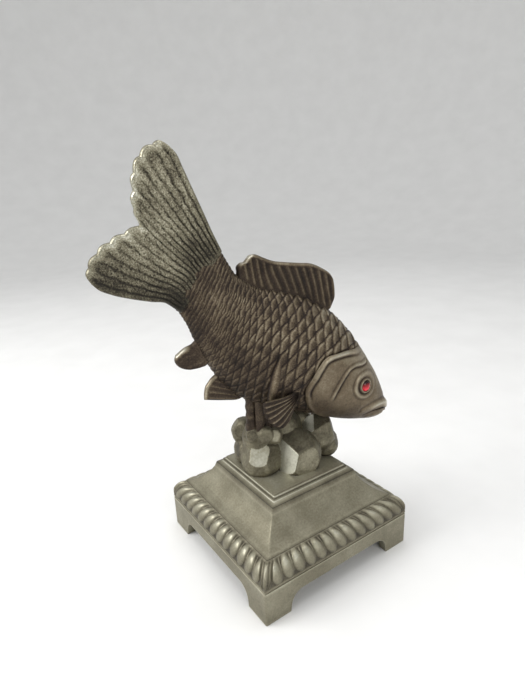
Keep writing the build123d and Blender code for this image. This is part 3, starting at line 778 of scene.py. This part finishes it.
def make_rocks():
    work = bmesh.new()
    flats = []
    for (x, y, z, radius), facets in boulders:
        centre = np.array([x, y, platform_top + z])
        made = bmesh.ops.create_icosphere(work, subdivisions=5, radius=radius)
        co = np.array([v.co for v in made["verts"]])
        wide = np.linalg.norm(co[:, :2], axis=1) + 1e-9
        full = np.where(co[:, 2] < 0, 0.55 + 0.45 * radius / wide, 1.0)
        co[:, :2] *= np.minimum(full, radius / wide)[:, None]
        for azimuth, elevation, distance, tone in facets:
            a, e = radians(azimuth), radians(elevation)
            out = np.array([cos(e) * cos(a), cos(e) * sin(a), sin(e)])
            over = np.maximum(co @ out - distance * radius, 0)
            co = co - over[:, None] * out
            flats.append((centre, out, distance * radius, tone))
        for v, p in zip(made["verts"], co + centre):
            v.co = p * 0.001
    mesh = bpy.data.meshes.new("rock_lumps")
    work.to_mesh(mesh)
    work.free()
    lumps = bpy.data.objects.new("rock_lumps", mesh)
    scene.collection.objects.link(lumps)
    remesh = lumps.modifiers.new("run_together", "REMESH")
    remesh.mode = "VOXEL"
    remesh.voxel_size = 0.00024
    whole = bpy.data.meshes.new_from_object(lumps.evaluated_get(bpy.context.evaluated_depsgraph_get()))
    bpy.data.objects.remove(lumps)
    co = np.zeros(len(whole.vertices) * 3)
    whole.vertices.foreach_get("co", co)
    co = co.reshape(-1, 3) * 1000
    co[:, 2] = np.maximum(co[:, 2], platform_top - 0.2)
    normal = np.zeros(len(whole.vertices) * 3)
    whole.vertices.foreach_get("normal", normal)
    normal = normal.reshape(-1, 3)
    flat, tone = np.zeros(len(co)), np.full(len(co), plain_tone)
    for centre, out, distance, value in flats:
        on = (np.abs((co - centre) @ out - distance) < 0.25) & ((normal @ out) > 0.97)
        flat = np.where(on, 1.0, flat)
        tone = np.where(on, value, tone)
    coarse = 0.24 * rough(co, 3.4) + 0.12 * rough(co, 1.2) + 0.06 * rough(co, 0.5)
    co = co + normal * (coarse * (1 - 0.85 * flat) * (co[:, 2] > platform_top))[:, None]
    # Painted shade: the boulders are darker in their lowest 1.6 mm, where they meet the platform.
    tone_and_painted_light = tone + 0.55 * coarse - 0.20 * (1 - flat) * (1 - step(co[:, 2] - platform_top, 0.2, 1.6))
    faces = [list(p.vertices) for p in whole.polygons]
    bpy.data.meshes.remove(whole)
    piece = add_mesh("rock_boulders", co, faces, pewter_rock, tone_and_painted_light)
    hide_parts("rock_mound")


make_rocks()


# Water weed: strands from the rocks to the belly, and a leaf laid up the right flank
stem_diameter = 3.4


def stem(beyond, aside, radius, beads):
    """A strand; beyond and aside, in stem diameters, place it along the belly and across it."""
    s = perch_share * body_length + beyond * stem_diameter
    top = world(np.array(s), belly_at(np.array(s)) + 2.0, np.array(aside * stem_diameter))
    foot = top.copy()
    foot[2] = platform_top + 6.0
    rise = np.linspace(0, 1, 90)[:, None]
    a = np.linspace(0, 2 * pi, 64, endpoint=False)[None, :]
    swell = 1 + 0.07 * beads * np.sin(40 * rise) + 0.25 * bump(rise - 0.45, 0.10)
    r = radius * swell * (1 + 0.05 * np.sin(2 * a + 3 * rise))
    x, y = foot[0] + r * np.cos(a), foot[1] + r * np.sin(a)
    z = foot[2] + (top[2] - foot[2]) * rise + 0 * a
    rings = np.stack([x, y, z], -1)
    tone_and_painted_light = 0.24 + 0.05 * beads * np.sin(40 * rise) + 0.10 * rough(rings, 1.3)
    return rings, tone_and_painted_light, foot, top


def make_weed():
    points, faces, values = [], [], []
    count = 0
    for strand in ((0.592, -0.440, 1.75, 1), (-0.269, -0.943, 1.55, 0), (-1.1, 0.234, 2.8, 0)):
        rings, tone_and_painted_light, foot, top = stem(*strand)
        n, m = rings.shape[:2]
        points += [rings.reshape(-1, 3), [foot], [top]]
        faces += [[count + i for i in f] for f in capped_faces(n, m)]
        values += [tone_and_painted_light.ravel(), [0.1, 0.1]]
        count += n * m + 2
    u, v = np.linspace(0, 1, 90), np.linspace(-1, 1, 40)
    line = path([(47.6, -22.1), (49.6, -20.2), (52.1, -16.5), (54.9, -11.8), (57.6, -6.2)], u)
    run = np.gradient(line, axis=0)
    run /= np.linalg.norm(run, axis=1, keepdims=True)
    across = np.stack([run[:, 1], -run[:, 0]], -1)
    width = 0.15 + 1.50 * np.sin(pi * u) ** 0.75
    flat = line[:, None] + across[:, None] * (width[:, None] * v[None, :])[..., None]
    s, t = flat[..., 0], flat[..., 1]
    bulge = (0.25 + 0.75 * np.sqrt(np.clip(1 - v ** 2, 0, 1)))[None, :]
    thick = bulge * np.sin(pi * (0.04 + 0.92 * u))[:, None] ** 0.4
    y = flank(s, np.clip(t, belly_at(s) + 1.0, None))
    outer = world(s, t, -(y + 0.35 + 1.1 * thick))
    inner = world(s, t, -(y - 0.9))
    rings = np.concatenate([outer, inner[:, ::-1]], axis=1)
    faces += [[count + i for i in f] for f in plate_faces(*outer.shape[:2])]
    # The leaf has a painted highlight in a lighter strip along one side, and is darker towards both edges.
    tone_and_painted_light = np.tile(0.34 + 0.24 * bump(v - 0.35, 0.45) - 0.26 * np.abs(v) ** 4, (len(u), 1))
    points.append(rings.reshape(-1, 3))
    values.append(np.concatenate([tone_and_painted_light, 0 * tone_and_painted_light], axis=1).ravel())
    piece = add_mesh("weed_strands", np.concatenate(points), faces, pewter, np.concatenate(values))
    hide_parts("water_weed")


make_weed()

# Pedestal: a moulded square stand on four feet, hollow below
base_half = 32.5
face_height = 12.7
foot_height = 7.1


def square(place, half, corner, bend):
    """Points round a square with rounded corners; place gives x along each side."""
    loops = []
    for k in range(4):
        side = np.stack([place, np.full(len(place), -half)], -1)
        a = -pi / 2 + pi / 2 * np.arange(1, bend + 1) / (bend + 1)
        turned = np.stack([half - corner + corner * np.cos(a), -half + corner + corner * np.sin(a)], -1)
        run = np.concatenate([side, turned])
        c, s = cos(k * pi / 2), sin(k * pi / 2)
        loops.append(run @ np.array([[c, s], [-s, c]]))
    return np.concatenate(loops)


def eased(profile, cut):
    """The profile with its corners cut, and how far each point stands out or lies in."""
    rows = [(*profile[0], 0.0)]
    for before, here, after in zip(profile[:-2], profile[1:-1], profile[2:]):
        before, here, after = np.array(before), np.array(here), np.array(after)
        a, b = before - here, after - here
        la, lb = np.linalg.norm(a), np.linalg.norm(b)
        out = np.sign(a[0] * b[1] - a[1] * b[0]) * min(1.0, np.arccos(np.clip(-(a @ b) / la / lb, -1, 1)))
        near = min(cut, 0.42 * la, 0.42 * lb)
        start, end = here + a / la * near, here + b / lb * near
        rows += [(*start, 0.4 * out), (*((start + end) / 4 + here / 2), out), (*end, 0.4 * out)]
    rows.append((*profile[-1], 0.0))
    return rows


def make_pedestal():
    corner, bend = 0.45, 3
    gap_top, gap_knee, gap_half, foot_inner, small = 17.5, 21.25, 22.5, 24.0, 29.0
    marks = [0, gap_top, gap_knee, gap_half, foot_inner, base_half - corner]
    counts = [22, 9, 9, 4, 9]
    runs = [np.linspace(a, b, n)[1:] for a, b, n in zip(marks[:-1], marks[1:], counts)]
    outer = np.concatenate([[0], *runs])
    place = np.concatenate([-outer[:0:-1], outer])
    gap_places = [0, gap_top, 18.9, 20.2, gap_knee, 22.0, gap_half]
    gap_heights = [foot_height, foot_height, 6.75, 6.05, 4.97, 3.2, 0]
    lift = curve(np.abs(place), gap_places, gap_heights)
    level = np.where(np.abs(place) >= gap_half, 0, lift)
    floor = np.tile(np.concatenate([level, np.zeros(bend)]), 4)
    far = np.abs(place) > foot_inner
    shrink = (small - corner - foot_inner) / (base_half - corner - foot_inner)
    inside = np.where(far, np.sign(place) * (foot_inner + (np.abs(place) - foot_inner) * shrink), place)
    rows, tone_and_painted_light = [], []

    def row(loop, z, value):
        z = np.broadcast_to(z, (len(loop),))
        rows.append(np.column_stack([loop, z]))
        tone_and_painted_light.append(np.broadcast_to(value, (len(loop),)))

    for w, z in ((4.0, 29.5), (15.7, 29.5), (16.1, 29.2), (22.5, 21.0), (28.6, 13.1)):
        row(square(inside * (w - corner) / (small - corner), w, corner, bend), z, 0.42)
    for share in (1.0, 0.75, 0.5, 0.25, 0.04):
        row(square(inside, small, corner, bend), floor + (face_height - floor) * share, 0.42)
    row(square(inside, small + 0.3, corner, bend), floor, 0.55)
    row(square(place, base_half - 0.3, corner, bend), floor, 0.6)
    for share in (0.0, 0.03, 0.08, 0.2, 0.35, 0.5, 0.65, 0.8, 0.92, 0.975, 1.0):
        tone = 0.54 + 0.24 * bump(share, 0.03) + 0.24 * bump(share - 1, 0.03)
        row(square(place, base_half, corner, bend), floor + 0.15 + (12.5 - floor - 0.15) * share, tone)
    slope = [(27.1, 21.0), (24.75, 22.35), (22.65, 24.15), (20.85, 26.2), (19.4, 28.5)]
    hollow = path(slope, np.linspace(0, 1, 12))
    profile = [(32.4, 12.65), (31.2, 12.75), (30.4, 17.0), (27.5, 20.25), (28.3, 20.45), (27.1, 21.0)]
    profile += [tuple(p) for p in hollow[1:]]
    profile += [(18.8, 30.5), (16.9, 31.0), (16.9, 32.1), (16.0, 32.1), (16.0, 33.0), (12.0, 33.02)]
    for w, z, out in eased(profile, 0.28):
        # Painted light: the platform's top is painted lighter than the rest of the stand, as lit from above.
        tone = 0.53 + 0.38 * out + 0.22 * (z > 32.9)
        row(square(place * (w - corner) / (base_half - corner), w, corner, bend), z, tone)
    row(square(place * 5.5 / (base_half - corner), 6.0, corner, bend), 33.03, 0.78)
    rings = np.stack(rows)
    piece = tube("pedestal_stand", rings, pewter_base, np.stack(tone_and_painted_light), [(0, 0, 29.5), (0, 0, 33.03)])
    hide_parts("pedestal")


make_pedestal()


# Border: leaning eggs with thin darts between them, and a leaf on each corner
def make_border():
    corner, bend, rows_up, lobe_count = 0.45, 5, 44, 13
    egg_widest = 0.42
    place = np.linspace(-(base_half - corner), base_half - corner, 250)
    curved = [(32.42, 12.75), (32.75, 14.2), (32.45, 16.1), (31.65, 18.0), (30.2, 19.65), (28.25, 20.6)]
    arc = path(curved, np.linspace(0, 1, rows_up))
    run = np.gradient(arc, axis=0)
    run /= np.linalg.norm(run, axis=1, keepdims=True)
    normal = np.stack([run[:, 1], -run[:, 0]], -1)
    b = np.linspace(0, 1, rows_up)[:, None]
    x = np.concatenate([place, np.full(bend, base_half)])[None, :]
    span = base_half - 2.4
    pitch = 2 * span / lobe_count
    up = np.clip((b - 0.11) / 0.87, 0, 1)
    below = np.sqrt(np.clip(1 - (1 - up / egg_widest) ** 2, 0, 1))
    above = 1 - 0.5 * (np.clip(up - egg_widest, 0, 1) / (1 - egg_widest)) ** 1.4
    wide = np.where(up < egg_widest, below, above)
    tall = np.sqrt(np.clip(1 - np.abs(2 * up - 1) ** 3.5, 0, 1))
    heights = []
    for k in range(4):
        lean = -1 if k % 2 == 0 else 1
        f = np.mod((x - lean * 3.6 * (b - 0.5) + span) / pitch, 1) - 0.5
        f = f * -lean
        egg = np.sqrt(np.clip(1 - ((f + 0.05) / (0.48 * wide + 1e-3)) ** 2, 0, 1)) * tall
        thin = 0.55 * bump(f - 0.40 - 0.05 * up, 0.055) * step(up, 0.15, 0.4) * step(1 - up, 0.0, 0.1)
        from_corner = (base_half - np.abs(x)) / (2.6 * (0.25 + 0.75 * step(b, 0.0, 0.45)))
        leaf = np.sqrt(np.clip(1 - from_corner ** 1.6, 0, 1))
        leaf = leaf * (0.35 + 0.65 * step(b, 0.05, 0.5)) * step(1 - b, 0.0, 0.12)
        leaf = 0.85 * leaf - 0.50 * bump(from_corner - 0.48, 0.13) * step(b, 0.1, 0.3)
        clear = step(from_corner, 1.0, 1.25)
        heights.append(np.maximum(np.maximum(egg, thin) * clear, leaf))
    height = np.clip(np.concatenate(heights, axis=1), 0, 1)
    ledge = np.maximum(1 - step(b, 0.06, 0.13), bump(b - 1, 0.05))
    lift = -0.60 + 0.80 * height + 0.40 * ledge * (1 - height)
    rows = []
    for i in range(rows_up):
        w, z = arc[i]
        flat = square(place * (w - corner) / (base_half - corner), w, corner, bend)
        size = np.abs(flat).max(axis=1)
        grow = lift[i] * normal[i, 0]
        rows.append(np.column_stack([flat * ((size + grow) / size)[:, None], z + lift[i] * normal[i, 1]]))
    for w, z in ((27.2, 20.2), (28.6, 18.2), (29.6, 15.5), (30.6, 13.2)):
        flat = square(place * (w - corner) / (base_half - corner), w, corner, bend)
        rows.append(np.column_stack([flat, np.full(len(flat), z)]))
    rings = np.stack(rows)
    n, m = rings.shape[:2]
    faces = tube_faces(n, m)
    last = (n - 1) * m
    faces += [[last + j, last + (j + 1) % m, (j + 1) % m, j] for j in range(m)]
    # Painted highlight: the upper part of each egg is painted lighter.
    tone_and_painted_light = 0.24 + 0.32 * height + 0.24 * height * step(b, 0.4, 0.75) + 0.30 * ledge * (1 - height)
    tone_and_painted_light = np.concatenate([tone_and_painted_light, np.zeros((4, m))])
    add_mesh("pedestal_border", rings, faces, pewter_base, tone_and_painted_light)


make_border()

# The screw and the washer keep their CAD shapes.
for name in ("washer", "fixing_screw"):
    nodes[name].data.materials.clear()
    nodes[name].data.materials.append(steel)


# Stage: a pale round floor that turns up into a wall
def make_stage():
    pale, tree, shader = new_material("pale_floor")
    tint = ramp(tree, grain(tree, 30, 3.0), [(0.3, (0.88, 0.875, 0.86)), (0.7, (0.92, 0.915, 0.90))])
    tree.links.new(tint, shader.inputs["Base Color"])
    shader.inputs["Roughness"].default_value = 0.75
    shader.inputs["Specular IOR Level"].default_value = 0.2
    profile = [(0.3, 0.0), (0.7, 0.0)]
    profile += [(0.7 + 0.5 * sin(a), 0.5 - 0.5 * cos(a)) for a in np.linspace(0.1, pi / 2, 14)]
    profile += [(1.2, 1.1)]
    segments = 96
    turns = np.linspace(0, 2 * pi, segments, endpoint=False)
    work = bmesh.new()
    rings = [[work.verts.new((r * cos(a), r * sin(a), z)) for a in turns] for r, z in profile]
    middle = work.verts.new((0, 0, 0))
    for j in range(segments):
        k = (j + 1) % segments
        work.faces.new((middle, rings[0][j], rings[0][k]))
        for a, b in zip(rings[:-1], rings[1:]):
            work.faces.new((a[j], b[j], b[k], a[k]))
    for face in work.faces:
        face.smooth = True
    mesh = bpy.data.meshes.new("floor")
    work.to_mesh(mesh)
    work.free()
    mesh.materials.append(pale)
    floor = bpy.data.objects.new("floor", mesh)
    scene.collection.objects.link(floor)


make_stage()

# Camera: its focal length is in pixels of a frame 700 pixels high.
azimuth, elevation, roll = radians(-33.975), radians(19.264), radians(-2.685)
camera_place = Vector((-0.0976, -0.1342, 0.1354))
focal_pixels, frame_height, sensor = 499.6, 700.0, 36.0
behind = Vector((sin(azimuth) * cos(elevation), -cos(azimuth) * cos(elevation), sin(elevation)))
across = Vector((cos(azimuth), sin(azimuth), 0))
above = behind.cross(across)
lens = bpy.data.cameras.new("camera")
lens.sensor_width = sensor
lens.lens = focal_pixels * sensor / frame_height
lens.clip_start = 0.01
camera = bpy.data.objects.new("camera", lens)
rolled_across = cos(roll) * across + sin(roll) * above
rolled_above = cos(roll) * above - sin(roll) * across
axes = Matrix((rolled_across, rolled_above, behind)).transposed()
camera.matrix_world = Matrix.Translation(camera_place) @ axes.to_4x4()
scene.collection.objects.link(camera)
scene.camera = camera


# Lamps that face the middle of the figurine
aim = Vector((0, 0, 0.07))


def lamp(name, place, size, power):
    light = bpy.data.lights.new(name, "AREA")
    light.size, light.energy = size, power
    made = bpy.data.objects.new(name, light)
    made.location = place
    made.rotation_euler = (aim - place).to_track_quat("-Z", "Y").to_euler()
    scene.collection.objects.link(made)


lamp("window", aim - 0.50 * across + 0.12 * behind + Vector((0, 0, 0.30)), 0.35, 2.6)
lamp("overhead", Vector((0.05, 0.02, 0.65)), 0.45, 1.6)
lamp("front", aim + 0.30 * across + 0.50 * behind + Vector((0, 0, 0.10)), 0.40, 0.9)

scene.world = scene.world or bpy.data.worlds.new("studio")
scene.world.use_nodes = True
sky = scene.world.node_tree.nodes["Background"]
sky.inputs["Color"].default_value = (0.95, 0.97, 1.0, 1)
sky.inputs["Strength"].default_value = 0.45
scene.view_settings.view_transform = "Standard"
